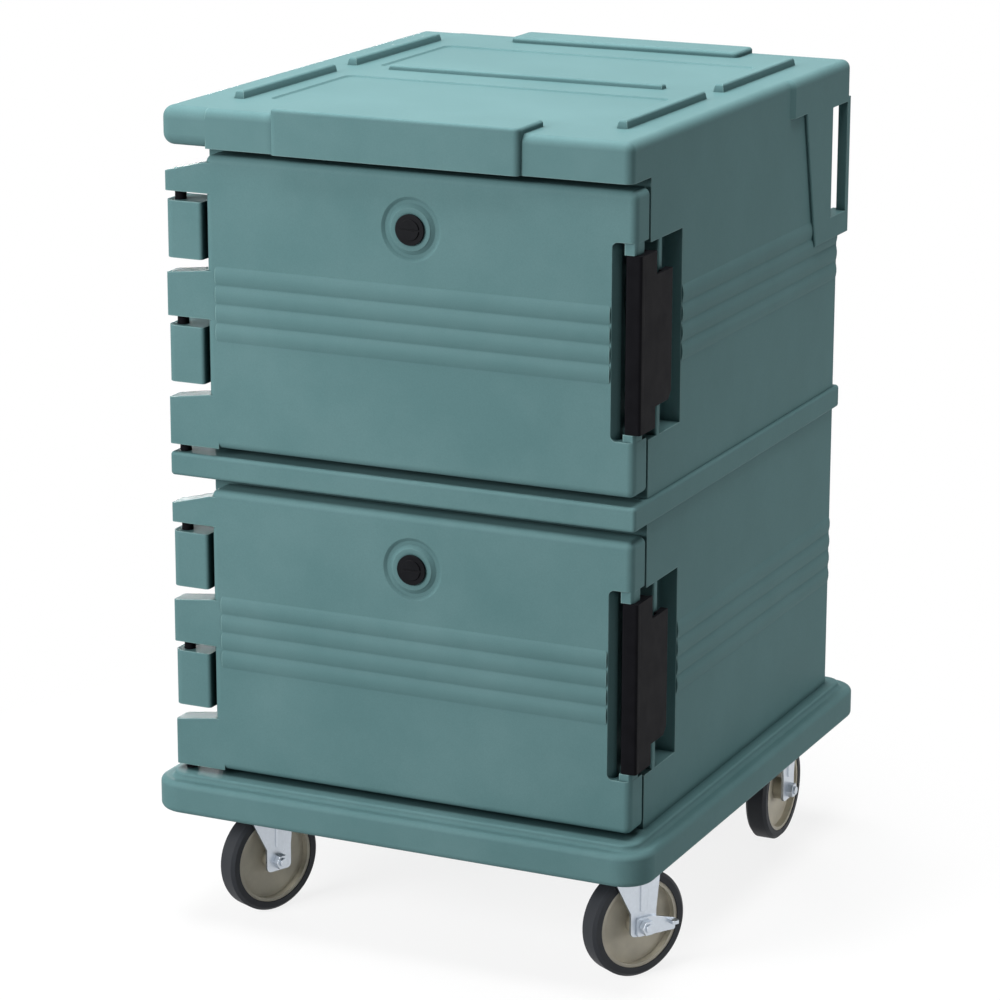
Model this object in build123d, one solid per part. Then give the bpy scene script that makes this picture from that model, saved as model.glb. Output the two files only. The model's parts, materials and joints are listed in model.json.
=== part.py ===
from build123d import *
import os

# Insulated food pan carrier on casters, in millimetres.
# X runs to the right, Y to the back and Z up. The origin is on the floor under the middle of the base.

# How far a cutting solid, or the root of an added one, runs past the face it meets
past = 2.0

# Base: a bumper all round that stands out past the body by the margins, with the caster seats under it
bumper_left_margin = 64.0
bumper_right_margin = 36.5
bumper_front_margin = 89.5
bumper_rear_margin = 43.0
base_corner = 44.0
base_edge_round = 8.0
bumper_drop = 25.0
bumper_rise = 20.5
bumper_wall = 22.0
shoulder_height = 8.0
shoulder_inset = 20.0
shoulder_round = 4.0
shoulder_cove = 6.0

# Body: a double-walled box round the compartments
side_wall = 51.25
body_depth = 709.5
body_corner = 12.0
skin = 5.0
seat_skin = 24.5

# Stack of the two compartments
base_gap = 8.0
door_height = 404.0
gap_under_band = 14.0
band_height = 33.5
gap_over_band = 11.5
lid_gap = 10.5
lid_height = 53.5
lid_skin = 8.0

# Lid and middle band, which stand out past the body
side_overhang = 41.0
lid_lead = 9.8
lid_rear_overhang = 24.0
lid_end_width = 70.0
lid_end_round = 16.0
band_side_proud = 5.2
band_rear_proud = 5.0
band_round = 5.0

# Top of the lid: two raised pads, the stacking ribs and the shallow panels between them
pad_lead = 8.0
pad_round = 4.5
pad_corner = 9.0
front_pad_left = -180.0
front_pad_width = 363.0
front_pad_depth = 82.0
front_pad_height = 8.5
rear_pad_left = -172.0
rear_pad_width = 362.0
rear_pad_depth = 66.0
rear_pad_height = 8.0
rib_width = 16.0
rib_foot = 2.0
rib_draft = 10.0
rib_round = 3.5
side_rib_height = 10.5
side_rib_shift = 281.5
side_rib_front = -298.0
side_rib_split = 4.0
side_rib_rear = 310.0
side_rib_gap = 60.0
middle_rib_left = -216.0
middle_rib_right = 205.0
middle_rib_y = 27.0
middle_rib_height = 6.5
panel_sink = 2.5
panel_sink_corner = 14.0
sunk_left = -246.0
sunk_right = 246.0
front_sunk_start = -283.0
front_sunk_end = -45.0
rear_sunk_start = 45.0
rear_sunk_end = 272.0

# Compartments with their pan rails
cavity_width = 545.0
cavity_sill = 32.0
cavity_rear_wall = 53.0
cavity_corner = 40.0
rail_pitch = 38.1
rail_margin = 36.0
rail_depth = 14.0
rail_root = 20.0
rail_tip = 10.0
rail_front_inset = 14.0
rail_rear_inset = 44.0

# Doors
door_thickness = 42.9
gasket_gap = 9.8
hinge_edge = 45.9
door_side_overhang = 2.8
door_round = 10.0
door_back_bevel = 3.0
panel_rise = 8.5
panel_margin = 9.0
panel_corner = 26.0

# Door gaskets
gasket_width = 14.0
gasket_root_width = 7.0
gasket_root_depth = 4.0
gasket_margin = 3.0
gasket_clearance = 0.3
gasket_corner = 30.0

# Moulded reeds on the doors and the latch side
reed_count = 4
reed_pitch = 26.0
reed_gap = 1.2
reed_proud = 2.2
reed_corner = 5.0
reed_end_margin = 14.0
reed_pocket_margin = 1.5

# Hinges
knuckle_half = 16.5
hinge_reach = 24.7
body_knuckle_round = 12.0
door_knuckle_round = 5.0
knuckle_side_gap = 6.0
pin_radius = 8.0
pin_hold = 20.0
pin_drop = 30.0
running_clearance = 0.05
end_clearance = 0.3
low_knuckle = 65.0
middle_knuckle = 59.5
high_knuckle = 26.4
low_knuckle_slope = 9.0
middle_knuckle_slope = 7.0
high_knuckle_slope = 16.0
gap_over_door_knuckle = 14.0
gap_under_door_knuckle = 13.0
hinge_top_margin = 10.0
knuckle_root_depth = 3.0

# Latches: pocket in the door, recess and keeper lip in the body, lever, hook and pivot pin
pocket_left_inset = 33.8
pocket_bottom_margin = 75.0
pocket_top_margin = 67.0
pocket_corner = 8.0
pocket_wall_slant = 8.0
pocket_wall_depth = 14.0
low_boss_height = 10.0
high_boss_height = 16.0
boss_width = 17.0
boss_depth = 24.0
recess_depth = 32.0
recess_length = 107.5
recess_drop = 7.0
recess_corner = 8.0
lip_setback = 26.9
lip_thickness = 13.0
lip_clearance = 0.4
pivot_from_edge = 8.8
pivot_from_face = 13.2
pivot_radius = 3.0
pivot_hold = 12.0
lever_width = 22.7
grip_start = 19.0
grip_end_wall = 20.0
lever_depth = 47.0
lever_face_setback = 2.2
latch_proud = 6.6
lever_wall = 4.0
lever_round = 4.0
hook_thickness = 4.0
hook_wide_reach = 40.0
hook_nose_reach = 13.0
hook_front_lap = 36.0
hook_low_trim = 29.0
hook_high_trim = 32.0
hook_slant = 10.0
hook_ramp = 1.4

# Door vents
vent_shift = 6.25
vent_drop = 75.0
vent_dish_radius = 43.5
vent_dish_slope = 4.5
vent_dish_depth = 3.0
vent_land_radius = 30.0
vent_land_height = 1.2
vent_bore = 15.0
vent_tube_wall = 3.0
vent_flange_radius = 20.0
vent_flange_thickness = 2.0
vent_cap_radius = 20.75
vent_cap_thickness = 3.0
vent_knob_radius = 14.0
vent_knob_height = 1.6
vent_stem_length = 22.0
vent_groove_width = 2.4

# Hand grips at the rear corners: a bar behind each rear corner, with a slot for the fingers
ear_proud = 5.0
ear_thickness = 24.0
ear_round = 2.5
grip_top_drop = 60.0
grip_height = 160.0
grip_bar_depth = 14.0
grip_bar_width = 14.0
grip_depth = 61.0
grip_reach = 41.5
ear_below_grip = 33.0
ear_front_at_lid = 237.0
ear_lead_in = 10.0
ear_front_top = 181.0
ear_front_bottom = 135.0

# Foam filling and its plugs
fill_hole_radius = 12.0
fill_hole_spread = 220.0
plug_head_radius = 17.0
plug_head_height = 3.0

# Casters, all with the same wheel
wheel_radius = 76.2
wheel_width = 32.0
caster_height = 190.5
plate_wall_gap = 1.25
front_caster_inset = 81.0
rear_caster_inset = 146.0
caster_trail = 39.0
right_caster_angle = 59.0
left_caster_angle = 65.8
plate_length = 114.0
plate_breadth = 102.0
plate_thickness = 5.0
plate_corner = 8.0
bolt_spacing_x = 92.0
bolt_spacing_y = 67.0
bolt_radius = 5.0
bolt_hole_clearance = 0.3
bolt_depth = 18.0
bolt_head_flats = 17.0
bolt_head_height = 6.4

# Wheel
tyre_thickness = 13.0
tyre_bevel = 4.5
hub_inset = 1.5
rim_land = 5.0
web_half = 5.0
boss_radius = 16.0
sleeve_radius = 9.0
axle_radius = 6.0
wheel_side_gap = 4.5
nut_flats = 19.0
nut_height = 9.0
axle_end = 3.0

# Forks
fork_wall = 4.0
crown_thickness = 5.0
crown_drop = 19.5
crown_front = 36.0
crown_rear = 44.0
leg_shoulder_level = 150.0
leg_shoulder_front = 10.0
leg_shoulder_rear = 66.0
leg_half_width = 21.0
leg_below_axle = 14.0
leg_taper_height = 20.0
leg_corner = 7.0
leg_rib_width = 12.0
leg_rib_height = 2.5
leg_rib_bottom = 22.0
rigid_leg_half_top = 41.0
rigid_leg_flare = 8.0
race_radius = 36.0
race_inner_radius = 24.0
ball_ring_radius = 32.0
ball_ring_height = 4.0
dome_height = 6.0
dome_bevel = 4.0
kingpin_radius = 7.0
kingpin_head_radius = 12.0
kingpin_head_height = 8.0

# Wheel brake on the front right caster
brake_wall = 4.0
brake_hub_radius = 13.0
brake_reach = 50.0
brake_arm_height = 16.0
brake_pedal_depth = 11.0
brake_pedal_thickness = 5.0
brake_droop = 6.0
brake_arm_round = 3.0
brake_pedal_round = 4.0

# Places worked out from the sizes above
body_width = cavity_width + 2 * side_wall
base_width = body_width + bumper_left_margin + bumper_right_margin
base_depth = body_depth + bumper_front_margin + bumper_rear_margin
body_shift_x = (bumper_left_margin - bumper_right_margin) / 2
body_shift_y = (bumper_front_margin - bumper_rear_margin) / 2
base_bottom = caster_height - bumper_drop
bumper_top = caster_height + bumper_rise
base_top = bumper_top + shoulder_height
body_left = body_shift_x - body_width / 2
body_right = body_shift_x + body_width / 2
body_front = body_shift_y - body_depth / 2
body_rear = body_shift_y + body_depth / 2
lower_level = base_top + base_gap
band_bottom = lower_level + door_height + gap_under_band
upper_level = band_bottom + band_height + gap_over_band
lid_bottom = upper_level + door_height + lid_gap
lid_top = lid_bottom + lid_height
door_back = body_front - gasket_gap
door_front = door_back - door_thickness
hinge_x = body_left - hinge_reach
hinge_y = door_front + knuckle_half
door_left = hinge_x + hinge_edge
door_right = body_right + door_side_overhang
lid_left = body_left - side_overhang
lid_front = door_front - lid_lead
lid_rear = body_rear + lid_rear_overhang
cavity_left = body_shift_x - cavity_width / 2
cavity_right = body_shift_x + cavity_width / 2
cavity_back = body_rear - cavity_rear_wall
cavity_height = door_height - 2 * cavity_sill
pocket_left = door_right - pocket_left_inset
pocket_low = pocket_bottom_margin
pocket_high = door_height - pocket_top_margin
pivot_x = door_right - pivot_from_edge
pivot_y = door_front + pivot_from_face
vent_face = door_front - vent_land_height
lever_low = pocket_low + low_boss_height
lever_high = pocket_high - high_boss_height
lip_front = body_front + lip_setback
lip_back = lip_front + lip_thickness
reed_radius = ((reed_pitch - reed_gap) ** 2 / 4 + reed_proud**2) / (2 * reed_proud)
vent_x = (door_left + door_right) / 2 - vent_shift
vent_z = door_height - vent_drop
grip_top = lid_top - grip_top_drop
grip_bottom = grip_top - grip_height
grip_back = lid_rear - grip_bar_depth
grip_front = grip_back - grip_depth
ear_outer = body_right + ear_proud
body_knuckle = (
    door_height
    - hinge_top_margin
    - low_knuckle
    - low_knuckle_slope
    - middle_knuckle
    - middle_knuckle_slope
    - high_knuckle
    - high_knuckle_slope
    - 2 * gap_over_door_knuckle
    - 2 * gap_under_door_knuckle
) / 2
low_body_knuckle = low_knuckle + low_knuckle_slope + gap_over_door_knuckle
middle_level = low_body_knuckle + body_knuckle + gap_under_door_knuckle
high_body_knuckle = middle_level + middle_knuckle + middle_knuckle_slope + gap_over_door_knuckle
high_level = high_body_knuckle + body_knuckle + gap_under_door_knuckle
door_knuckle_levels = (0, middle_level, high_level)
plate_bottom = caster_height - plate_thickness
crown_top = caster_height - crown_drop
fork_inside = wheel_width / 2 + wheel_side_gap
fork_outside = fork_inside + fork_wall
hub_radius = wheel_radius - tyre_thickness


def block(x0, x1, y0, y1, z0, z1):
    middle = Pos((x0 + x1) / 2, (y0 + y1) / 2, (z0 + z1) / 2)
    return middle * Box(x1 - x0, y1 - y0, z1 - z0)


def plan_block(x0, x1, y0, y1, z0, z1, corner):
    plan = RectangleRounded(x1 - x0, y1 - y0, corner)
    return extrude(Pos((x0 + x1) / 2, (y0 + y1) / 2, z0) * plan, z1 - z0)


def front_block(x0, x1, y0, y1, z0, z1, corner):
    plane = Plane(origin=((x0 + x1) / 2, y1, (z0 + z1) / 2), x_dir=(1, 0, 0), z_dir=(0, -1, 0))
    return extrude(plane * RectangleRounded(x1 - x0, z1 - z0, corner), y1 - y0)


def upright(x, y, z0, z1, radius):
    return Pos(x, y, (z0 + z1) / 2) * Cylinder(radius, z1 - z0)


def across(x, z, y0, y1, radius):
    return Pos(x, (y0 + y1) / 2, z) * Rot(90, 0, 0) * Cylinder(radius, y1 - y0)


def ring(profile_points):
    # turned about Z from points that give radius and height
    return revolve(Plane.XZ * make_face(Polyline(*profile_points, close=True)), Axis.Z)


def hexagon(flats, height):
    return extrude(RegularPolygon(flats / 2, 6, major_radius=False), height)


def reed_levels(level):
    # heights of the reed centres on one compartment
    middle = level + door_height / 2
    return [middle + (i - (reed_count - 1) / 2) * reed_pitch for i in range(reed_count)]


def reed(length):
    # a shallow round bar along X that stands proud of the plane Y = 0 towards -Y
    bar = Pos(0, reed_radius - reed_proud, 0) * Rot(0, 90, 0) * Cylinder(reed_radius, length)
    outline = Plane.XZ.offset(-past) * RectangleRounded(length, reed_pitch, reed_corner)
    return bar & extrude(outline, reed_proud + 2 * past)


# Cabinet


def cavity(level):
    # inside of one compartment, without the rails that stand into it
    low = level + cavity_sill
    room = block(cavity_left, cavity_right, body_front - past, cavity_back, low, low + cavity_height)
    room = fillet(room.edges().filter_by(Axis.Z).group_by(Axis.Y)[-1], cavity_corner)
    count = int((cavity_height - 2 * rail_margin) // rail_pitch) + 1
    first = low + cavity_height / 2 - (count - 1) / 2 * rail_pitch
    start = body_front + rail_front_inset
    length = cavity_back - rail_rear_inset - start
    section = make_face(
        Polyline(
            (-past, -rail_root / 2),
            (0, -rail_root / 2),
            (rail_depth, -rail_tip / 2),
            (rail_depth, rail_tip / 2),
            (0, rail_root / 2),
            (-past, rail_root / 2),
            close=True,
        )
    )
    for i in range(count):
        z = first + i * rail_pitch
        left = Plane(origin=(cavity_left, start, z), x_dir=(1, 0, 0), z_dir=(0, -1, 0))
        right = Plane(origin=(cavity_right, start, z), x_dir=(-1, 0, 0), z_dir=(0, 1, 0))
        room -= extrude(left * section, -length)
        room -= extrude(right * section, length)
    return room


def latch_recess(level):
    # finger space in the latch side of the body, with the keeper lip left standing in it
    low = level + pocket_low - recess_drop
    high = level + pocket_high - recess_drop
    inner = body_right - recess_depth
    space = block(inner, body_right + past, body_front - past, body_front + recess_length, low, high)
    space = fillet(space.edges().filter_by(Axis.Z).group_by(Axis.Y)[-1].sort_by(Axis.X)[0], recess_corner)
    lip = block(inner - past, body_right, lip_front, lip_back, low - past, high + past)
    return space - fillet(lip.edges().filter_by(Axis.Z).group_by(Axis.X)[-1], lip_thickness / 4)


def body_hinge(level):
    # the two body knuckles of one door, rooted in the front jamb
    knuckles = Part()
    for low in (low_body_knuckle, high_body_knuckle):
        z0 = level + low
        z1 = z0 + body_knuckle
        right = door_left - knuckle_side_gap
        arm = block(hinge_x - knuckle_half, right, door_front, body_front + knuckle_root_depth, z0, z1)
        corners = arm.edges().filter_by(Axis.Z).group_by(Axis.Y)[0].sort_by(Axis.X)
        arm = fillet(corners[0], body_knuckle_round)
        corners = arm.edges().filter_by(Axis.Z).group_by(Axis.Y)[0].sort_by(Axis.X)
        knuckles += fillet(corners[-1], door_knuckle_round)
    return knuckles


def pin_bores(level):
    # holes under the three door knuckles that the door's pins drop into
    bores = Part()
    for low in door_knuckle_levels:
        z1 = level + low
        bores += upright(hinge_x, hinge_y, z1 - pin_drop - end_clearance, z1, pin_radius + running_clearance)
    return bores


def side_reeds(level):
    start = body_front + recess_length + reed_pocket_margin
    length = body_rear - body_corner - start
    reeds = Part()
    for z in reed_levels(level):
        reeds += Location((body_right, start + length / 2, z), (0, 0, 90)) * reed(length)
    return reeds


def top_rib(x0, x1, y0, y1, height):
    # a drafted bar with its top edges rounded
    foot = Pos((x0 + x1) / 2, (y0 + y1) / 2, lid_top - rib_foot) * Rectangle(x1 - x0, y1 - y0)
    rib = extrude(foot, height + rib_foot, taper=rib_draft)
    return fillet(rib.edges().group_by(Axis.Z)[-1], rib_round)


def top_pad(x0, x1, y0, y1, height):
    # a raised pad that runs down over the edge of the lid
    pad = plan_block(x0, x1, y0, y1, lid_bottom, lid_top + height, pad_corner)
    return fillet(pad.edges().group_by(Axis.Z)[-1], pad_round)


def sunk_panel(y0, y1):
    # a shallow panel with sloping sides, cut into the top of the lid
    low = lid_top - panel_sink
    panel = plan_block(sunk_left, sunk_right, y0, y1, low, lid_top + past, panel_sink_corner)
    return chamfer(panel.edges().group_by(Axis.Z)[0], panel_sink)


def lid():
    # the plan widens near the back, over the grip ear
    seam = lid_left + lid_end_width
    ear_start = lid_rear - ear_front_at_lid
    plan = make_face(
        Polyline(
            (seam, lid_front),
            (body_right, lid_front),
            (body_right, ear_start),
            (ear_outer, ear_start + ear_lead_in),
            (ear_outer, lid_rear),
            (seam, lid_rear),
            close=True,
        )
    )
    cover = extrude(Pos(0, 0, lid_bottom) * plan, lid_height)
    right = cover.edges().filter_by(Axis.Z).filter_by_position(Axis.X, body_right - past, ear_outer + past)
    corners = right.sort_by(Axis.Y)
    cover = fillet([corners[0], corners[-1]], body_corner)
    cover = fillet(cover.edges().group_by(Axis.Z)[-1].sort_by(Axis.X)[1:], body_corner)
    end_right = seam + 2 * lid_end_round
    left_end = plan_block(lid_left, end_right, lid_front, lid_rear, lid_bottom, lid_top, lid_end_round)
    rims = left_end.edges().group_by(Axis.Z)
    left_end = fillet(rims[0] + rims[-1], lid_end_round)
    cover += left_end
    for y0, y1 in ((front_sunk_start, front_sunk_end), (rear_sunk_start, rear_sunk_end)):
        cover -= sunk_panel(y0, y1)
    x1 = front_pad_left + front_pad_width
    y0 = lid_front - pad_lead
    cover += top_pad(front_pad_left, x1, y0, y0 + front_pad_depth, front_pad_height)
    x1 = rear_pad_left + rear_pad_width
    cover += top_pad(rear_pad_left, x1, lid_rear - rear_pad_depth, lid_rear, rear_pad_height)
    front_end = side_rib_split - side_rib_gap / 2
    rear_start = side_rib_split + side_rib_gap / 2
    for x in (-side_rib_shift, side_rib_shift):
        x0 = x - rib_width / 2
        x1 = x + rib_width / 2
        cover += top_rib(x0, x1, side_rib_front, front_end, side_rib_height)
        cover += top_rib(x0, x1, rear_start, side_rib_rear, side_rib_height)
    y0 = middle_rib_y - rib_width / 2
    y1 = middle_rib_y + rib_width / 2
    return cover + top_rib(middle_rib_left, middle_rib_right, y0, y1, middle_rib_height)


def band():
    shelf = plan_block(
        lid_left,
        body_right + band_side_proud,
        door_front,
        body_rear + band_rear_proud,
        band_bottom,
        band_bottom + band_height,
        band_round,
    )
    return fillet(shelf.edges().group_by(Axis.Z)[0] + shelf.edges().group_by(Axis.Z)[-1], band_round)


def base():
    half_x = base_width / 2
    half_y = base_depth / 2
    bumper = plan_block(-half_x, half_x, -half_y, half_y, base_bottom, bumper_top, base_corner)
    bumper = fillet(bumper.edges().group_by(Axis.Z)[0] + bumper.edges().group_by(Axis.Z)[-1], base_edge_round)
    inner_x = half_x - shoulder_inset
    inner_y = half_y - shoulder_inset
    corner = base_corner - shoulder_inset
    step = plan_block(-inner_x, inner_x, -inner_y, inner_y, bumper_top - past, base_top, corner)
    bumper += fillet(step.edges().group_by(Axis.Z)[-1], shoulder_round)
    # the hollow corner where the step meets the top of the bumper
    foot = bumper.edges().filter_by_position(Axis.Z, bumper_top - end_clearance, bumper_top + end_clearance)
    foot = foot.filter_by_position(Axis.X, -inner_x - end_clearance, inner_x + end_clearance)
    foot = foot.filter_by_position(Axis.Y, -inner_y - end_clearance, inner_y + end_clearance)
    bumper = fillet(foot, shoulder_cove)
    wall_x = half_x - bumper_wall
    wall_y = half_y - bumper_wall
    corner = base_corner - bumper_wall
    return bumper - plan_block(-wall_x, wall_x, -wall_y, wall_y, base_bottom - past, caster_height, corner)


def grip_ears():
    # the corner mouldings that carry the grip bars: the latch side's stands proud, the hinge side's is flush
    low = grip_bottom - ear_below_grip
    outline = make_face(
        Polyline(
            (lid_rear - ear_front_top, lid_bottom),
            (lid_rear, lid_bottom),
            (lid_rear, low),
            (lid_rear - ear_front_bottom, low),
            close=True,
        )
    )
    plane = Plane(origin=(ear_outer - ear_thickness, 0, 0), x_dir=(0, 1, 0), z_dir=(1, 0, 0))
    right = extrude(plane * outline, ear_thickness)
    right = fillet(right.edges().group_by(Axis.X)[-1].sort_by(Axis.Z)[:-1], ear_round)
    left = block(body_left, body_left + ear_thickness, body_rear - skin, lid_rear, low, lid_bottom)
    return right + fillet(left.edges().filter_by(Axis.Z).group_by(Axis.Y)[-1], ear_round)


def grip_slots():
    # each slot goes in from the side and out at the back, past the inner side of its bar
    slots = Part()
    for outer, inward, reach in ((ear_outer, -1, grip_reach + ear_proud), (body_left, 1, grip_reach)):
        x0, x1 = sorted((outer - inward * past, outer + inward * reach))
        slots += block(x0, x1, grip_front, grip_back, grip_bottom, grip_top)
        x0, x1 = sorted((outer + inward * grip_bar_width, outer + inward * reach))
        slots += block(x0, x1, grip_front, lid_rear + past, grip_bottom, grip_top)
    return slots


def caster_places():
    # the right-hand plates stand by the bumper's wall, and the left-hand ones mirror them about the body
    right = base_width / 2 - bumper_wall - plate_wall_gap - plate_length / 2
    left = 2 * body_shift_x - right
    front = front_caster_inset - base_depth / 2
    rear = base_depth / 2 - rear_caster_inset
    return {
        "front_right": Location((right, front, 0), (0, 0, right_caster_angle)),
        "front_left": Location((left, front, 0), (0, 0, left_caster_angle)),
        "rear_right": Location((right, rear, 0), (0, 0, 90)),
        "rear_left": Location((left, rear, 0), (0, 0, 90)),
    }


def bolt_places():
    spots = []
    for place in caster_places().values():
        for sx in (-1, 1):
            for sy in (-1, 1):
                x = place.position.X + sx * bolt_spacing_x / 2
                y = place.position.Y + sy * bolt_spacing_y / 2
                spots.append((x, y))
    return spots


def fill_places():
    half = fill_hole_spread / 2
    return [(body_shift_x - half, body_shift_y), (body_shift_x + half, body_shift_y)]


def foam_core():
    # the space between the two walls, which the foam fills
    core = plan_block(
        body_left + skin,
        body_right - skin,
        body_front + skin,
        body_rear - skin,
        caster_height + seat_skin,
        lid_top - lid_skin,
        body_corner - skin,
    )
    for level in (lower_level, upper_level):
        low = level + cavity_sill
        liner = block(
            cavity_left - skin,
            cavity_right + skin,
            body_front - past,
            cavity_back + skin,
            low - skin,
            low + cavity_height + skin,
        )
        core -= liner
        core -= block(
            body_right - recess_depth - skin,
            body_right + past,
            body_front - past,
            body_front + recess_length + skin,
            level + pocket_low - recess_drop - skin,
            level + pocket_high - recess_drop + skin,
        )
    for x0, x1 in (
        (body_left - past, body_left + grip_reach + skin),
        (body_right - grip_reach - skin, body_right + past),
    ):
        core -= block(x0, x1, grip_front - skin, body_rear + past, grip_bottom - skin, grip_top + skin)
    return core


def cabinet_shell(core):
    shell = block(body_left, body_right, body_front, body_rear, bumper_top, lid_top - body_corner)
    shell = fillet(shell.edges().filter_by(Axis.Z).group_by(Axis.Y)[-1], body_corner)
    shell += base()
    shell += lid()
    shell += band()
    shell += grip_ears()
    for level in (lower_level, upper_level):
        shell += body_hinge(level)
        shell += side_reeds(level)
        shell -= cavity(level)
        shell -= latch_recess(level)
        shell -= pin_bores(level)
    shell -= grip_slots()
    shell -= core
    for x, y in bolt_places():
        shell -= upright(x, y, caster_height - past, caster_height + bolt_depth, bolt_radius)
    for x, y in fill_places():
        shell -= upright(x, y, caster_height - past, caster_height + seat_skin + past, fill_hole_radius)
    return shell


def fill_plugs():
    plugs = []
    for x, y in fill_places():
        plug = upright(x, y, caster_height, caster_height + seat_skin, fill_hole_radius)
        plug += upright(x, y, caster_height - plug_head_height, caster_height, plug_head_radius)
        plugs.append(plug)
    return Compound(children=plugs)


# Door, built with its bottom edge at Z = 0


def door_knuckle(low, length, slope):
    # a block that reaches out from the door, with a top that slopes down to its outer end
    inner = door_left + door_round + skin
    outer = hinge_x - knuckle_half
    side = make_face(
        Polyline(
            (outer, low),
            (inner, low),
            (inner, low + length + slope),
            (door_left, low + length + slope),
            (outer, low + length),
            close=True,
        )
    )
    plane = Plane(origin=(0, door_front, 0), x_dir=(1, 0, 0), z_dir=(0, -1, 0))
    knuckle = extrude(plane * side, -2 * knuckle_half)
    knuckle = fillet(knuckle.edges().filter_by(Axis.Z).group_by(Axis.X)[0], door_knuckle_round)
    return knuckle - upright(hinge_x, hinge_y, low - past, low + pin_hold, pin_radius)


def vent_bore_hole(radius):
    return across(vent_x, vent_z, door_front - door_thickness, body_front, radius)


def vent_dish():
    # the land round the vent, and the shallow trough round that, turned about the vent's axis
    land = across(vent_x, vent_z, vent_face, door_front + past, vent_land_radius)
    land = chamfer(land.edges().group_by(Axis.Y)[0], vent_land_height)
    trough = [
        (vent_land_radius, past),
        (vent_land_radius, 0),
        (vent_land_radius + vent_dish_slope, -vent_dish_depth),
        (vent_dish_radius - vent_dish_slope, -vent_dish_depth),
        (vent_dish_radius, 0),
        (vent_dish_radius, past),
    ]
    return land, Pos(vent_x, door_front, vent_z) * Rot(90, 0, 0) * ring(trough)


def door_core():
    core = front_block(
        door_left + skin,
        door_right - skin,
        door_front + skin,
        door_back - skin,
        skin,
        door_height - skin,
        door_round - skin,
    )
    core -= block(
        pocket_left - skin,
        door_right,
        door_front,
        door_back,
        pocket_low - pivot_hold - skin,
        pocket_high + pivot_hold + skin,
    )
    return core - vent_bore_hole(vent_bore)


def door_shell(core):
    slab = front_block(door_left, door_right, door_front, door_back, 0, door_height, door_round)
    slab = fillet(slab.edges().group_by(Axis.Y)[0], door_round)
    slab = chamfer(slab.edges().group_by(Axis.Y)[-1], door_back_bevel)
    panel_left = cavity_left + panel_margin
    panel_right = cavity_right - panel_margin
    panel_low = cavity_sill + panel_margin
    panel_high = door_height - cavity_sill - panel_margin
    panel = front_block(
        panel_left, panel_right, door_back - past, door_back + panel_rise, panel_low, panel_high, panel_corner
    )
    slab += chamfer(panel.edges().group_by(Axis.Y)[-1], panel_rise / 2)
    slab += door_knuckle(0, low_knuckle, low_knuckle_slope)
    slab += door_knuckle(middle_level, middle_knuckle, middle_knuckle_slope)
    slab += door_knuckle(high_level, high_knuckle, high_knuckle_slope)
    reed_left = door_left + reed_end_margin
    reed_right = pocket_left - reed_pocket_margin
    for z in reed_levels(0):
        slab += Pos((reed_left + reed_right) / 2, door_front, z) * reed(reed_right - reed_left)
    pocket = front_block(
        pocket_left,
        door_right + pocket_left_inset,
        door_front - past,
        door_back + past,
        pocket_low,
        pocket_high,
        pocket_corner,
    )
    slant_x = pocket_left + pocket_wall_slant
    slant_y = door_front + pocket_wall_depth
    wall = make_face(
        Polyline(
            (pocket_left, door_front),
            (slant_x, slant_y),
            (slant_x, door_back + past),
            (pocket_left - past, door_back + past),
            (pocket_left - past, door_front),
            close=True,
        )
    )
    pocket -= extrude(Pos(0, 0, pocket_low - past) * wall, pocket_high - pocket_low + 2 * past)
    boss_left = pivot_x - boss_width / 2
    boss_right = min(pivot_x + boss_width / 2, door_right)
    boss_front = door_front + lever_face_setback
    for z0, z1 in ((pocket_low - past, lever_low), (lever_high, pocket_high + past)):
        pocket -= block(boss_left, boss_right, boss_front, boss_front + boss_depth, z0, z1)
    slab -= pocket
    slab -= upright(pivot_x, pivot_y, pocket_low - pivot_hold, pocket_high + pivot_hold, pivot_radius)
    land, trough = vent_dish()
    slab -= trough
    slab += land
    slab -= vent_bore_hole(vent_bore)
    slab -= core
    return slab - gasket_root()


def gasket_frame(extra, y0, y1):
    # a rectangular ring round the opening, as wide as the gasket less extra on each side
    near = gasket_margin + extra
    far = gasket_margin + gasket_width - extra
    low = cavity_sill
    high = door_height - cavity_sill
    outer = front_block(cavity_left - far, cavity_right + far, y0, y1, low - far, high + far, gasket_corner)
    inner_corner = gasket_corner - gasket_width + 2 * extra
    return outer - front_block(
        cavity_left - near, cavity_right + near, y0 - past, y1 + past, low - near, high + near, inner_corner
    )


def gasket_root():
    extra = (gasket_width - gasket_root_width) / 2
    return gasket_frame(extra, door_back - gasket_root_depth, door_back)


def door_gasket():
    lip_end = body_front - gasket_clearance
    return gasket_frame(0, door_back, lip_end) + gasket_root()


def hinge_pins():
    # one under each door knuckle, so the door can be lifted off
    pins = []
    for low in door_knuckle_levels:
        pins.append(upright(hinge_x, hinge_y, low - pin_drop, low + pin_hold, pin_radius))
    return Compound(children=pins)


# Vent


def vent_seat():
    tube = across(vent_x, vent_z, vent_face, door_back + panel_rise + vent_flange_thickness, vent_bore)
    back = door_back + panel_rise
    tube += across(vent_x, vent_z, back, back + vent_flange_thickness, vent_flange_radius)
    return tube - vent_bore_hole(vent_bore - vent_tube_wall)


def vent_cap():
    face = vent_face - running_clearance
    cap_face = face - vent_cap_thickness
    cap = across(vent_x, vent_z, cap_face, face, vent_cap_radius)
    knob_face = cap_face - vent_knob_height
    cap += across(vent_x, vent_z, knob_face, cap_face, vent_knob_radius)
    stem_radius = vent_bore - vent_tube_wall - running_clearance
    cap += across(vent_x, vent_z, face, face + vent_stem_length, stem_radius)
    slot = block(
        vent_x - vent_knob_radius - past,
        vent_x + vent_knob_radius + past,
        knob_face - past,
        cap_face,
        vent_z - vent_groove_width / 2,
        vent_z + vent_groove_width / 2,
    )
    return cap - slot


# Latch: lever, hook plate and pivot pin


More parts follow.
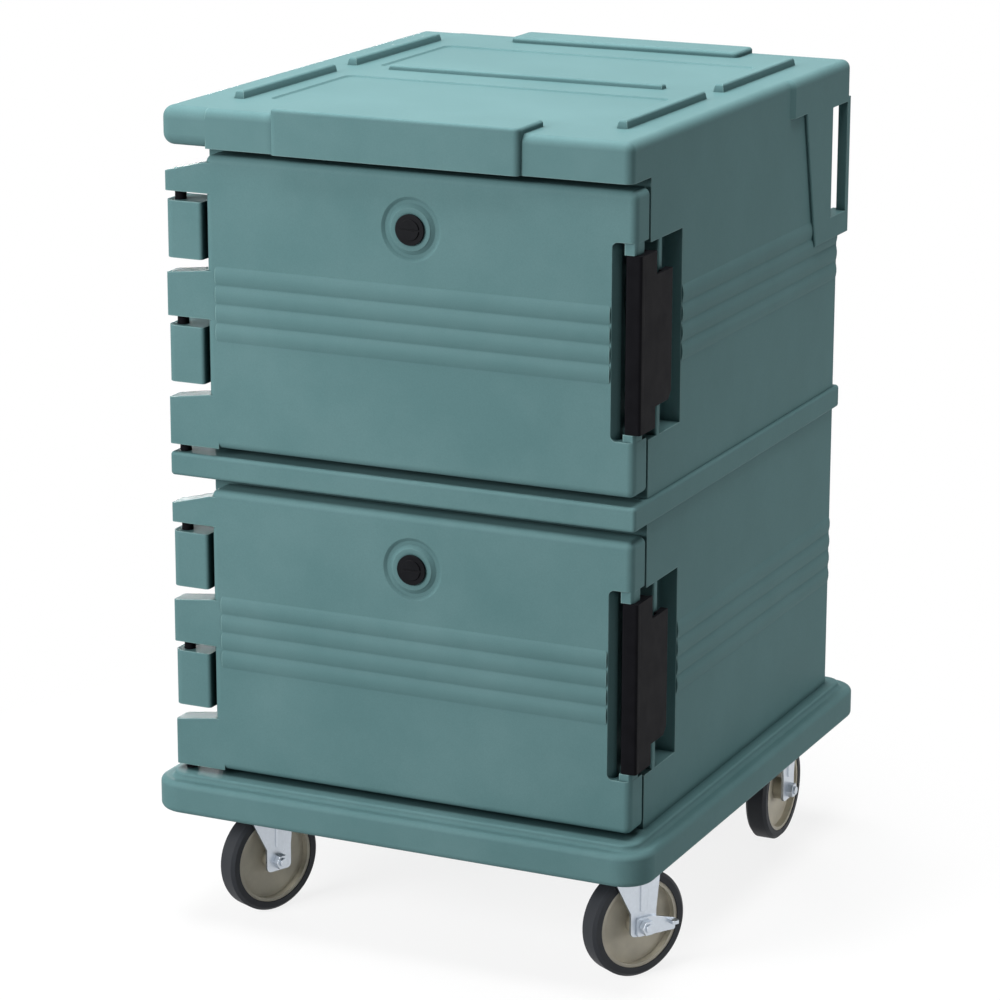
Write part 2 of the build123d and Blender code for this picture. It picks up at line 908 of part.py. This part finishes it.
def latch_lever():
    front = door_front + lever_face_setback
    right = door_right + latch_proud
    left = right - lever_width
    back = front + lever_depth
    low = lever_low + end_clearance
    high = lever_high - end_clearance
    bar = block(left, right, front, back, low, high)
    bar = fillet(bar.edges().filter_by(Axis.Z).group_by(Axis.Y)[0], lever_round)
    grip_right = right - hook_thickness - lever_wall
    grip_low = low + grip_end_wall
    grip_high = high - grip_end_wall
    grip = block(left - past, grip_right, front + grip_start, back + past, grip_low, grip_high)
    bar -= fillet(grip.edges().filter_by(Axis.Z).group_by(Axis.Y)[0].sort_by(Axis.X)[-1], lever_round)
    # the seat of the hook plate, which lies flush with the side of the lever
    seat_front = back - hook_front_lap
    bar -= block(right - hook_thickness, right + past, seat_front, back + past, low - past, high + past)
    return bar - upright(pivot_x, pivot_y, low - past, high + past, pivot_radius + running_clearance)


def latch_hook():
    # plate let into the side of the lever, with a wedge behind the keeper lip of the body
    inner = door_right + latch_proud - hook_thickness
    back = lip_back + hook_nose_reach
    step = lip_back - hook_wide_reach
    front = door_front + lever_face_setback + lever_depth - hook_front_lap
    lever_end_low = lever_low + end_clearance
    lever_end_high = lever_high - end_clearance
    low = lever_low + hook_low_trim
    high = lever_high - hook_high_trim
    outline = make_face(
        Polyline(
            (front, lever_end_low),
            (step, lever_end_low),
            (step, low),
            (back - hook_slant, low),
            (back, low + hook_slant),
            (back, high),
            (step, high),
            (step, lever_end_high),
            (front, lever_end_high),
            close=True,
        )
    )
    plane = Plane(origin=(inner, 0, 0), x_dir=(0, 1, 0), z_dir=(1, 0, 0))
    plate = extrude(plane * outline, hook_thickness)
    lip_face = body_right + lip_clearance
    wedge = make_face(
        Polyline(
            (inner, lip_front),
            (lip_face, lip_front),
            (lip_face, lip_back),
            (lip_face - hook_ramp, back),
            (inner, back),
            close=True,
        )
    )
    wedge_low = low + hook_slant
    return plate + extrude(Pos(0, 0, wedge_low) * wedge, high - wedge_low)


# Casters, each in its own frame: swivel axis on Z, wheel trailing along X, outer side towards -Y


def tyre():
    half = wheel_width / 2
    tread = half - tyre_bevel
    shoulder = wheel_radius - tyre_bevel
    points = [
        (hub_radius, -half),
        (shoulder, -half),
        (wheel_radius, -tread),
        (wheel_radius, tread),
        (shoulder, half),
        (hub_radius, half),
    ]
    return ring(points)


def hub():
    half = wheel_width / 2 - hub_inset
    land = hub_radius - rim_land
    boss_half = fork_inside - end_clearance
    points = [
        (sleeve_radius, -boss_half),
        (boss_radius, -boss_half),
        (boss_radius, -web_half),
        (land, -web_half),
        (land, -half),
        (hub_radius, -half),
        (hub_radius, half),
        (land, half),
        (land, web_half),
        (boss_radius, web_half),
        (boss_radius, boss_half),
        (sleeve_radius, boss_half),
    ]
    return ring(points)


def on_axle(solid, trail):
    # from the turning axis Z to the axle, with +Z going to the outer side
    return Pos(trail, 0, wheel_radius) * Rot(90, 0, 0) * solid


def sleeve():
    half = fork_inside - end_clearance
    return Cylinder(sleeve_radius, 2 * half) - Cylinder(axle_radius + running_clearance, 2 * half + past)


def axle_bolt(brake):
    outer = fork_outside + (brake_wall if brake else 0)
    shaft = upright(0, 0, -fork_outside, outer + nut_height + axle_end, axle_radius)
    return shaft + Pos(0, 0, -fork_outside - bolt_head_height) * hexagon(nut_flats, bolt_head_height)


def axle_nut(brake):
    outer = fork_outside + (brake_wall + 2 * end_clearance if brake else 0)
    return Pos(0, 0, outer) * hexagon(nut_flats, nut_height) - Cylinder(axle_radius, 4 * fork_outside)


def leg_outline(trail, front, rear, shoulder_front, shoulder_rear):
    left = trail - leg_half_width
    right = trail + leg_half_width
    bottom = wheel_radius - leg_below_axle
    upper = wheel_radius + leg_taper_height
    top = caster_height - crown_drop
    outline = make_face(
        Polyline(
            (-front, top),
            (rear, top),
            (shoulder_rear, leg_shoulder_level),
            (right, upper),
            (right, bottom),
            (left, bottom),
            (left, upper),
            (-shoulder_front, leg_shoulder_level),
            close=True,
        )
    )
    return fillet(outline.vertices().group_by(Axis.Y)[0], leg_corner)


def fork_legs(trail, outline, top):
    legs = Part()
    for side in (-1, 1):
        start = fork_inside if side < 0 else -fork_outside
        legs += extrude(Plane.XZ.offset(start) * outline, fork_wall)
        rib_low = wheel_radius + leg_rib_bottom
        y0, y1 = sorted((side * (fork_outside - past), side * (fork_outside + leg_rib_height)))
        rib = block(trail - leg_rib_width / 2, trail + leg_rib_width / 2, y0, y1, rib_low, top)
        outer = rib.edges().filter_by(Axis.Z).group_by(Axis.Y)[0 if side < 0 else -1]
        legs += chamfer(outer, leg_rib_height / 2)
    return legs - across(trail, wheel_radius, -2 * fork_outside, 2 * fork_outside, axle_radius)


def swivel_fork():
    outline = leg_outline(caster_trail, crown_front, crown_rear, leg_shoulder_front, leg_shoulder_rear)
    low = crown_top - crown_thickness
    crown = block(-crown_front, crown_rear, -fork_outside, fork_outside, low, crown_top)
    fork = crown + fork_legs(caster_trail, outline, leg_shoulder_level)
    fork = fillet(fork.edges().filter_by(Axis.X).group_by(Axis.Z)[-1], fork_wall)
    dome = upright(0, 0, crown_top - past, crown_top + dome_height, race_radius)
    fork += chamfer(dome.edges().group_by(Axis.Z)[-1], dome_bevel)
    return fork - upright(0, 0, 0, caster_height, kingpin_radius + running_clearance)


def plate_outline():
    outline = RectangleRounded(plate_length, plate_breadth, plate_corner)
    for sx in (-1, 1):
        for sy in (-1, 1):
            hole = Circle(bolt_radius + bolt_hole_clearance)
            outline -= Pos(sx * bolt_spacing_x / 2, sy * bolt_spacing_y / 2) * hole
    return outline


def top_plate():
    # lies square to the base, so it is built without the caster's turn
    plate = Pos(0, 0, plate_bottom) * extrude(plate_outline(), plate_thickness)
    race_low = crown_top + dome_height + ball_ring_height + end_clearance
    plate += upright(0, 0, race_low, plate_bottom, race_radius)
    return plate - upright(0, 0, race_low - past, caster_height + past, kingpin_radius)


def ball_ring():
    low = crown_top + dome_height
    outer = upright(0, 0, low, low + ball_ring_height, ball_ring_radius)
    return outer - upright(0, 0, low - past, low + ball_ring_height + past, race_inner_radius)


def kingpin():
    head_top = crown_top - crown_thickness - end_clearance
    pin = upright(0, 0, head_top, caster_height, kingpin_radius)
    return pin + upright(0, 0, head_top - kingpin_head_height, head_top, kingpin_head_radius)


def rigid_fork():
    plate = Rot(0, 0, 90) * Pos(0, 0, plate_bottom) * extrude(plate_outline(), plate_thickness)
    flare = leg_half_width + rigid_leg_flare
    outline = leg_outline(0, rigid_leg_half_top, rigid_leg_half_top, flare, flare)
    legs = fork_legs(0, outline, leg_shoulder_level)
    for side in (-1, 1):
        y0, y1 = sorted((side * fork_inside, side * fork_outside))
        legs += block(-rigid_leg_half_top, rigid_leg_half_top, y0, y1, crown_top, plate_bottom)
    return plate + legs


def brake_lever():
    # pressed arm that turns on the axle, with its pedal past the hub
    y0 = -fork_outside - end_clearance - brake_wall
    y1 = -fork_outside - end_clearance
    tip = caster_trail + brake_reach
    arm_outline = make_face(
        Polyline(
            (caster_trail - brake_hub_radius, wheel_radius + brake_hub_radius),
            (caster_trail + brake_hub_radius, wheel_radius + brake_hub_radius),
            (tip, wheel_radius + brake_arm_height / 2 - brake_droop),
            (tip, wheel_radius - brake_arm_height / 2 - brake_droop),
            (caster_trail - brake_hub_radius, wheel_radius - brake_hub_radius),
            close=True,
        )
    )
    arm = extrude(Plane.XZ.offset(-y1) * fillet(arm_outline.vertices(), brake_arm_round), brake_wall)
    level = wheel_radius + brake_arm_height / 2 - brake_droop
    pedal = block(
        tip - brake_pedal_depth, tip, y0 - brake_pedal_depth, y1, level - brake_pedal_thickness, level
    )
    pedal = fillet(pedal.edges().filter_by(Axis.Z).group_by(Axis.Y)[0], brake_pedal_round)
    hole = across(caster_trail, wheel_radius, y0 - past, y1 + past, axle_radius + running_clearance)
    return arm + pedal - hole


# Write one file for each node

os.makedirs("parts", exist_ok=True)


def save(name, shape):
    export_step(shape, f"parts/{name}.step")


core = foam_core()
save("cabinet_shell", cabinet_shell(core))
save("cabinet_foam", core)
save("foam_fill_plugs", fill_plugs())

one_door_core = door_core()
one_door_shell = door_shell(one_door_core)
for door, level in (("lower_door", lower_level), ("upper_door", upper_level)):
    at = Pos(0, 0, level)
    save(f"{door}_shell", at * one_door_shell)
    save(f"{door}_foam", at * one_door_core)
    save(f"{door}_gasket", at * door_gasket())
    save(f"{door}_hinge_pins", at * hinge_pins())
    save(f"{door}_vent_seat", at * vent_seat())
    save(f"{door}_vent_cap", at * vent_cap())
    save(f"{door}_latch_lever", at * latch_lever())
    save(f"{door}_latch_hook", at * latch_hook())
    pin_low = pocket_low - pivot_hold
    save(f"{door}_latch_pin", at * upright(pivot_x, pivot_y, pin_low, pocket_high + pivot_hold, pivot_radius))

bolts = []
for x, y in bolt_places():
    head = Pos(x, y, plate_bottom - bolt_head_height) * hexagon(bolt_head_flats, bolt_head_height)
    bolts.append(head + upright(x, y, plate_bottom, caster_height + bolt_depth, bolt_radius))
save("caster_mounting_bolts", Compound(children=bolts))

for name, place in caster_places().items():
    swivels = name.startswith("front")
    trail = caster_trail if swivels else 0
    brake = name == "front_right"
    save(f"{name}_tyre", place * on_axle(tyre(), trail))
    save(f"{name}_hub", place * on_axle(hub(), trail))
    save(f"{name}_axle_sleeve", place * on_axle(sleeve(), trail))
    save(f"{name}_axle_bolt", place * on_axle(axle_bolt(brake), trail))
    save(f"{name}_axle_nut", place * on_axle(axle_nut(brake), trail))
    if swivels:
        save(f"{name}_fork", place * swivel_fork())
        save(f"{name}_ball_ring", place * ball_ring())
        square = Pos(place.position.X, place.position.Y, 0)
        save(f"{name}_top_plate", square * top_plate())
        save(f"{name}_kingpin", square * kingpin())
    else:
        save(f"{name}_fork", place * rigid_fork())
    if brake:
        save(f"{name}_brake_lever", place * brake_lever())
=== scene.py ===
import bpy
import json
from math import radians
from mathutils import Euler, Matrix, Vector

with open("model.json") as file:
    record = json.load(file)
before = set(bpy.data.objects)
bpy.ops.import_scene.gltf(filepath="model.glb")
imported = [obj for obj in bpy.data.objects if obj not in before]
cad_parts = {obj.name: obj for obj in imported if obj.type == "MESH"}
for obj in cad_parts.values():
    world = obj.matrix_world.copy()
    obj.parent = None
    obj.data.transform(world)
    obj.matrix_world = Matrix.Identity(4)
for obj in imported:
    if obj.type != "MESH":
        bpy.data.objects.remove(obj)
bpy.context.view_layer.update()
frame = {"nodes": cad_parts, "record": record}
print("frame:", len(frame["nodes"]), "nodes")

white = (1.0, 1.0, 1.0, 1.0)
perMetre = 1000.0  # mm in a metre: the looks below give their sizes in mm
edgeRays = 6  # rays by which a shader judges an edge or a crease

# places of a colour mix's sockets
mixShare = 0
mixFirst = 6
mixSecond = 7
mixResult = 2


def linear(hexCode):
    # sRGB hex code to the linear RGBA that shaders take
    channels = [int(hexCode[i : i + 2], 16) / 255 for i in (0, 2, 4)]
    return [c / 12.92 if c <= 0.04045 else ((c + 0.055) / 1.055) ** 2.4 for c in channels] + [1.0]


def addNode(tree, kind, inputs, settings=None):
    # a node with its settings and links; an input takes a value, an output, or a node for its first output
    node = tree.nodes.new(kind)
    for name, value in (settings or {}).items():
        setattr(node, name, value)
    for name, value in inputs.items():
        source = value.outputs[0] if isinstance(value, bpy.types.Node) else value
        if isinstance(source, bpy.types.NodeSocket):
            tree.links.new(source, node.inputs[name])
        else:
            node.inputs[name].default_value = source
    return node


def newMaterial(name):
    # an empty tree, and the object's own coordinates in metres
    material = bpy.data.materials.new(name)
    material.use_nodes = True
    tree = material.node_tree
    tree.nodes.clear()
    place = addNode(tree, "ShaderNodeTexCoord", {}).outputs["Object"]
    return material, tree, place


# Cabinet and doors: rotomoulded polyethylene, waxy and even, with soft clouds and the mould's orange peel
polyethylene = {
    "colour": "5E7E80",
    "deep": "57787A",  # the darker clouds
    "cloudSize": 160.0,
    "peelSize": 9.0,
    "peelDepth": 0.35,
    "peelBump": 0.25,
    "grainSize": 1.3,  # coarser than the real grain, so that it shows
    "grainDepth": 0.12,
    "grainBump": 0.35,
    "grainTone": (0.96, 1.04),
    "roughness": (0.42, 0.52),
    "ior": 1.51,
    "gloss": 0.022,  # waxy, so far less shine than a hard plastic
    "edgeHighlight": "A9CBC9",  # painted highlight: a paler tone on outer edges, standing in for their shine
    "edgeHighlightShare": 0.42,  # how much of it the sharpest edge takes
    "edgeHighlightWidth": 1.8,  # less than the thinnest wall
    "creaseShade": "0A282B",  # painted shade: a darker tone in narrow gaps and pockets
    "creaseShadeReach": 13.0,
    "edge": 1.6,  # rounding of the moulded edges
}


def rotomoulded(name, look):
    material, tree, place = newMaterial(name)
    cloudScale = perMetre / look["cloudSize"]
    clouds = addNode(
        tree, "ShaderNodeTexNoise", {"Vector": place, "Scale": cloudScale, "Detail": 4.0, "Roughness": 0.6}
    )
    peel = addNode(tree, "ShaderNodeTexNoise", {"Vector": place, "Scale": perMetre / look["peelSize"]})
    grain = addNode(tree, "ShaderNodeTexNoise", {"Vector": place, "Scale": perMetre / look["grainSize"]})

    pale = addNode(tree, "ShaderNodeMapRange", {"Value": clouds, "From Min": 0.35, "From Max": 0.65})
    body = addNode(
        tree,
        "ShaderNodeMix",
        {mixShare: pale, mixFirst: linear(look["deep"]), mixSecond: linear(look["colour"])},
        {"data_type": "RGBA"},
    )

    # painted highlight: outer edges, where the solid itself is thin under the surface, take the paler tone
    # in place of their shine
    thickness = addNode(
        tree,
        "ShaderNodeAmbientOcclusion",
        {"Distance": look["edgeHighlightWidth"] / perMetre},
        {"samples": edgeRays, "inside": True, "only_local": True},
    )
    outerEdge = addNode(
        tree,
        "ShaderNodeMapRange",
        {
            "Value": thickness.outputs["AO"],
            "From Min": 0.4,
            "From Max": 0.88,
            "To Min": look["edgeHighlightShare"],
            "To Max": 0.0,
        },
    )
    # painted highlight: the paler edge tone mixed over the body colour
    edgeHighlighted = addNode(
        tree,
        "ShaderNodeMix",
        {mixShare: outerEdge, mixFirst: body.outputs[mixResult], mixSecond: linear(look["edgeHighlight"])},
        {"data_type": "RGBA"},
    )

    # painted shade: narrow gaps and pockets, where other surfaces stand close, take the darker tone
    openness = addNode(
        tree,
        "ShaderNodeAmbientOcclusion",
        {"Distance": look["creaseShadeReach"] / perMetre},
        {"samples": edgeRays},
    )
    openPart = addNode(
        tree, "ShaderNodeMapRange", {"Value": openness.outputs["AO"], "From Min": 0.2, "From Max": 0.9}
    )
    # painted shade mixed in where the surroundings stand close
    creaseShaded = addNode(
        tree,
        "ShaderNodeMix",
        {mixShare: openPart, mixFirst: linear(look["creaseShade"]), mixSecond: edgeHighlighted.outputs[mixResult]},
        {"data_type": "RGBA"},
    )

    darkest, palest = look["grainTone"]
    speck = addNode(
        tree,
        "ShaderNodeMapRange",
        {"Value": grain, "From Min": 0.3, "From Max": 0.7, "To Min": darkest, "To Max": palest},
    )
    colour = addNode(
        tree,
        "ShaderNodeMix",
        {mixShare: 1.0, mixFirst: creaseShaded.outputs[mixResult], mixSecond: speck},
        {"data_type": "RGBA", "blend_type": "MULTIPLY"},
    )

    smoothest, roughest = look["roughness"]
    roughness = addNode(
        tree,
        "ShaderNodeMapRange",
        {"Value": clouds, "From Min": 0.3, "From Max": 0.7, "To Min": smoothest, "To Max": roughest},
    )
    softEdge = addNode(tree, "ShaderNodeBevel", {"Radius": look["edge"] / perMetre}, {"samples": edgeRays})
    peelDepth = look["peelDepth"] / perMetre
    peeled = addNode(
        tree,
        "ShaderNodeBump",
        {"Strength": look["peelBump"], "Distance": peelDepth, "Height": peel, "Normal": softEdge},
    )
    grainDepth = look["grainDepth"] / perMetre
    grained = addNode(
        tree,
        "ShaderNodeBump",
        {"Strength": look["grainBump"], "Distance": grainDepth, "Height": grain, "Normal": peeled},
    )
    shader = addNode(
        tree,
        "ShaderNodeBsdfPrincipled",
        {
            "Base Color": colour.outputs[mixResult],
            "Roughness": roughness,
            "IOR": look["ior"],
            "Specular IOR Level": look["gloss"],
            "Normal": grained,
        },
    )
    addNode(tree, "ShaderNodeOutputMaterial", {"Surface": shader})
    return material


# Latch levers, hooks and hinge pins: moulded glass-filled nylon, near black and almost without shine
nylon = {"colour": "151518", "roughness": 0.42, "gloss": 0.015, "grainSize": 0.8, "edge": 1.2}

# Vent caps and seats: moulded polypropylene, black with a trace of shine
ventPlastic = {"colour": "121316", "roughness": 0.4, "gloss": 0.06, "grainSize": 0.8, "edge": 0.8}

# Door gaskets: extruded rubber, black and dull
gasketRubber = {"colour": "17191A", "roughness": 0.65, "gloss": 0.3, "grainSize": 1.0, "edge": 0.8}

# Hubs: moulded polyolefin, a warm pale grey with a satin face
hubPlastic = {"colour": "CFC9B8", "roughness": 0.5, "gloss": 0.4, "grainSize": 1.0, "edge": 1.0}

# Tyres: moulded rubber, a bluish dark grey and dull
tyreRubber = {"colour": "24272C", "roughness": 0.62, "gloss": 0.3, "grainSize": 0.9, "edge": 1.2}

# Insulation: poured polyurethane foam, straw coloured and matt
foamFill = {"colour": "D9CBA0", "roughness": 0.9, "gloss": 0.2, "grainSize": 1.6, "edge": 0.5}

# Fill plugs: moulded polyethylene, dark grey and satin
plugPlastic = {"colour": "26292C", "roughness": 0.5, "gloss": 0.4, "grainSize": 1.0, "edge": 0.8}

# What all moulded plastic and rubber share: a fine even grain under a tone that handling has varied
mouldedFinish = {
    "tone": (0.88, 1.1),
    "toneSize": 30.0,  # times the grain
    "roughness": (-0.05, 0.08),  # added to the piece's own
    "ior": 1.5,
    "grainDepth": 0.1,
    "grainBump": 0.4,
}


def mouldedPlastic(name, look):
    material, tree, place = newMaterial(name)
    grain = addNode(tree, "ShaderNodeTexNoise", {"Vector": place, "Scale": perMetre / look["grainSize"]})
    toneScale = perMetre / (look["grainSize"] * mouldedFinish["toneSize"])
    clouds = addNode(tree, "ShaderNodeTexNoise", {"Vector": place, "Scale": toneScale, "Detail": 3.0})
    darkest, palest = mouldedFinish["tone"]
    tone = addNode(
        tree,
        "ShaderNodeMapRange",
        {"Value": clouds, "From Min": 0.3, "From Max": 0.7, "To Min": darkest, "To Max": palest},
    )
    colour = addNode(
        tree,
        "ShaderNodeMix",
        {mixShare: 1.0, mixFirst: linear(look["colour"]), mixSecond: tone},
        {"data_type": "RGBA", "blend_type": "MULTIPLY"},
    )
    smoothest, roughest = [look["roughness"] + change for change in mouldedFinish["roughness"]]
    roughness = addNode(
        tree,
        "ShaderNodeMapRange",
        {"Value": clouds, "From Min": 0.3, "From Max": 0.7, "To Min": smoothest, "To Max": roughest},
    )
    softEdge = addNode(tree, "ShaderNodeBevel", {"Radius": look["edge"] / perMetre}, {"samples": edgeRays})
    grainDepth = mouldedFinish["grainDepth"] / perMetre
    grained = addNode(
        tree,
        "ShaderNodeBump",
        {
            "Strength": mouldedFinish["grainBump"],
            "Distance": grainDepth,
            "Height": grain,
            "Normal": softEdge,
        },
    )
    shader = addNode(
        tree,
        "ShaderNodeBsdfPrincipled",
        {
            "Base Color": colour.outputs[mixResult],
            "Roughness": roughness,
            "IOR": mouldedFinish["ior"],
            "Specular IOR Level": look["gloss"],
            "Normal": grained,
        },
    )
    addNode(tree, "ShaderNodeOutputMaterial", {"Surface": shader})
    return material


# Forks, swivels, bolts, nuts and brake: zinc-plated steel, pale and bluish with a soft shine
zincPlate = {"colour": "BEC5CD", "roughness": 0.32, "spangleSize": 5.0, "edge": 0.8}

# Latch pins and axle sleeves: ground steel, greyer and finer
pinSteel = {"colour": "9A9DA0", "roughness": 0.34, "spangleSize": 2.0, "edge": 0.4}

# What both steels share: a faint spangle, and streaks in the shine
steelFinish = {
    "tone": (1.02, 0.96),  # from the middle of a spangle to its rim
    "streakSize": 4.0,  # times the spangle
    "roughness": (-0.06, 0.12),  # added to the piece's own
    "streakDepth": 0.08,
    "streakBump": 0.2,
}


def platedSteel(name, look):
    material, tree, place = newMaterial(name)
    spangleScale = perMetre / look["spangleSize"]
    spangle = addNode(tree, "ShaderNodeTexVoronoi", {"Vector": place, "Scale": spangleScale})
    streakScale = perMetre / (look["spangleSize"] * steelFinish["streakSize"])
    streaks = addNode(
        tree, "ShaderNodeTexNoise", {"Vector": place, "Scale": streakScale, "Detail": 5.0, "Roughness": 0.7}
    )
    middle, rim = steelFinish["tone"]
    tone = addNode(
        tree,
        "ShaderNodeMapRange",
        {"Value": spangle, "From Min": 0.0, "From Max": 0.8, "To Min": middle, "To Max": rim},
    )
    colour = addNode(
        tree,
        "ShaderNodeMix",
        {mixShare: 1.0, mixFirst: linear(look["colour"]), mixSecond: tone},
        {"data_type": "RGBA", "blend_type": "MULTIPLY"},
    )
    smoothest, roughest = [look["roughness"] + change for change in steelFinish["roughness"]]
    roughness = addNode(
        tree,
        "ShaderNodeMapRange",
        {"Value": streaks, "From Min": 0.3, "From Max": 0.7, "To Min": smoothest, "To Max": roughest},
    )
    softEdge = addNode(tree, "ShaderNodeBevel", {"Radius": look["edge"] / perMetre}, {"samples": edgeRays})
    streakDepth = steelFinish["streakDepth"] / perMetre
    streaked = addNode(
        tree,
        "ShaderNodeBump",
        {
            "Strength": steelFinish["streakBump"],
            "Distance": streakDepth,
            "Height": streaks,
            "Normal": softEdge,
        },
    )
    shader = addNode(
        tree,
        "ShaderNodeBsdfPrincipled",
        {
            "Base Color": colour.outputs[mixResult],
            "Metallic": 1.0,
            "Roughness": roughness,
            "Normal": streaked,
        },
    )
    addNode(tree, "ShaderNodeOutputMaterial", {"Surface": shader})
    return material


def paintSlots():
    # each of the record's material slots gets its finished material, on every node that uses it
    finishes = {
        "polyethylene": rotomoulded("rotomoulded_polyethylene", polyethylene),
        "foam": mouldedPlastic("polyurethane_foam", foamFill),
        "plug": mouldedPlastic("fill_plug_polyethylene", plugPlastic),
        "gasket": mouldedPlastic("gasket_rubber", gasketRubber),
        "nylon": mouldedPlastic("glass_filled_nylon", nylon),
        "vent": mouldedPlastic("vent_polypropylene", ventPlastic),
        "steel_pin": platedSteel("ground_steel", pinSteel),
        "zinc_plate": platedSteel("zinc_plated_steel", zincPlate),
        "hub": mouldedPlastic("polyolefin_hub", hubPlastic),
        "tyre": mouldedPlastic("tyre_rubber", tyreRubber),
    }
    slotOf = {subpart["node"]: subpart["material_slot"] for subpart in frame["record"]["subparts"]}
    for node, piece in frame["nodes"].items():
        for slot in piece.material_slots:
            slot.material = finishes[slotOf[node]]
    print("materials:", len(finishes), "on", len(frame["nodes"]), "nodes")


def seenDirectly(tree):
    # 1 where the camera, a reflection or a clear piece looks at the background, 0 for light that bounces
    paths = addNode(tree, "ShaderNodeLightPath", {}).outputs
    seenOrMirrored = addNode(
        tree,
        "ShaderNodeMath",
        {0: paths["Is Camera Ray"], 1: paths["Is Glossy Ray"]},
        {"operation": "MAXIMUM"},
    )
    return addNode(
        tree,
        "ShaderNodeMath",
        {0: seenOrMirrored, 1: paths["Is Transmission Ray"]},
        {"operation": "MAXIMUM"},
    )


paleFloor = {
    "size": 30.0,  # metres
    "seen": "FFFFFF",
    "bounce": "A0A0A0",  # what it sends back on to the object
    "shadow": 0.16,  # how much of the object's shadow it keeps
    "shadowReach": (0.55, 1.1),  # metres from the middle, where the shadow starts to fade and ends
}


def addFloor():
    half = paleFloor["size"] / 2
    mesh = bpy.data.meshes.new("studio_floor")
    corners = [(-half, -half, 0), (half, -half, 0), (half, half, 0), (-half, half, 0)]
    mesh.from_pydata(corners, [], [(0, 1, 2, 3)])
    floor = bpy.data.objects.new("studio_floor", mesh)
    bpy.context.scene.collection.objects.link(floor)
    material, tree, place = newMaterial("pale_floor")
    seen = seenDirectly(tree)
    colour = addNode(
        tree,
        "ShaderNodeMix",
        {mixShare: seen, mixFirst: linear(paleFloor["bounce"]), mixSecond: linear(paleFloor["seen"])},
        {"data_type": "RGBA"},
    )
    paint = addNode(tree, "ShaderNodeBsdfDiffuse", {"Color": colour.outputs[mixResult]})
    glow = addNode(tree, "ShaderNodeEmission", {"Color": white, "Strength": 1.0})
    distance = addNode(tree, "ShaderNodeVectorMath", {"Vector": place}, {"operation": "LENGTH"})
    fadeStart, fadeEnd = paleFloor["shadowReach"]
    brightness = addNode(
        tree,
        "ShaderNodeMapRange",
        {
            "Value": distance.outputs["Value"],
            "From Min": fadeStart,
            "From Max": fadeEnd,
            "To Min": 1 - paleFloor["shadow"],
            "To Max": 1.0,
        },
    )
    glowShare = addNode(tree, "ShaderNodeMath", {0: seen, 1: brightness}, {"operation": "MULTIPLY"})
    mixed = addNode(tree, "ShaderNodeMixShader", {0: glowShare, 1: paint, 2: glow})
    addNode(tree, "ShaderNodeOutputMaterial", {"Surface": mixed})
    mesh.materials.append(material)
    print("floor:", paleFloor["size"], "m")


studio = {
    "ambient": 0.05,  # what the room's walls send back
    "lampAim": (0.0, 0.0, 0.6),  # metres, the middle of the object
}

# places and sizes in metres, powers in watts
lamps = {
    "overhead": {"place": (-0.1, 0.0, 3.3), "size": 2.6, "power": 146.0},
    "front": {"place": (-2.2, -4.2, 2.2), "size": 2.0, "power": 232.0},
    "rear": {"place": (-2.6, 3.8, 0.55), "size": 1.2, "power": 105.0},  # low, to stay off the lid
    "lowSide": {"place": (1.7, 0.3, 0.25), "size": 1.0, "power": 9.0},  # lifts the right side's foot
}


def lightRoom():
    world = bpy.data.worlds.new("white_studio")
    bpy.context.scene.world = world
    world.use_nodes = True
    tree = world.node_tree
    tree.nodes.clear()
    strength = addNode(
        tree, "ShaderNodeMapRange", {"Value": seenDirectly(tree), "To Min": studio["ambient"], "To Max": 1.0}
    )
    sky = addNode(tree, "ShaderNodeBackground", {"Color": white, "Strength": strength})
    addNode(tree, "ShaderNodeOutputWorld", {"Surface": sky})
    aim = Vector(studio["lampAim"])
    for name, look in lamps.items():
        lamp = bpy.data.lights.new(name, "AREA")
        lamp.size = look["size"]
        lamp.energy = look["power"]
        holder = bpy.data.objects.new(name, lamp)
        holder.location = look["place"]
        holder.visible_camera = False
        holder.rotation_euler = (aim - holder.location).to_track_quat("-Z", "Y").to_euler()
        bpy.context.scene.collection.objects.link(holder)
    print("lamps:", ", ".join(lamps))


shot = {
    "place": (2.1499, -4.6552, 1.9581),  # metres
    "yaw": 25.1,  # degrees to the left of +Y
    "pitch": 15.3,  # degrees below the horizon
    "roll": 0.11,  # degrees
    "lens": 133.6,  # mm
    "sensor": 36.0,  # mm
    "farthest": 60.0,  # metres
}


def aimCamera():
    data = bpy.data.cameras.new("camera")
    data.lens = shot["lens"]
    data.sensor_width = shot["sensor"]
    data.clip_end = shot["farthest"]
    camera = bpy.data.objects.new("camera", data)
    tilt = radians(90 - shot["pitch"])  # at 0 a camera looks straight down
    turn = Euler((tilt, 0, radians(shot["yaw"]))).to_matrix().to_4x4()
    roll = Matrix.Rotation(radians(shot["roll"]), 4, "Z")
    camera.matrix_world = Matrix.Translation(shot["place"]) @ turn @ roll
    bpy.context.scene.collection.objects.link(camera)
    bpy.context.scene.camera = camera
    bpy.context.scene.view_settings.view_transform = "Standard"
    print("camera:", shot["lens"], "mm")


paintSlots()
addFloor()
lightRoom()
aimCamera()
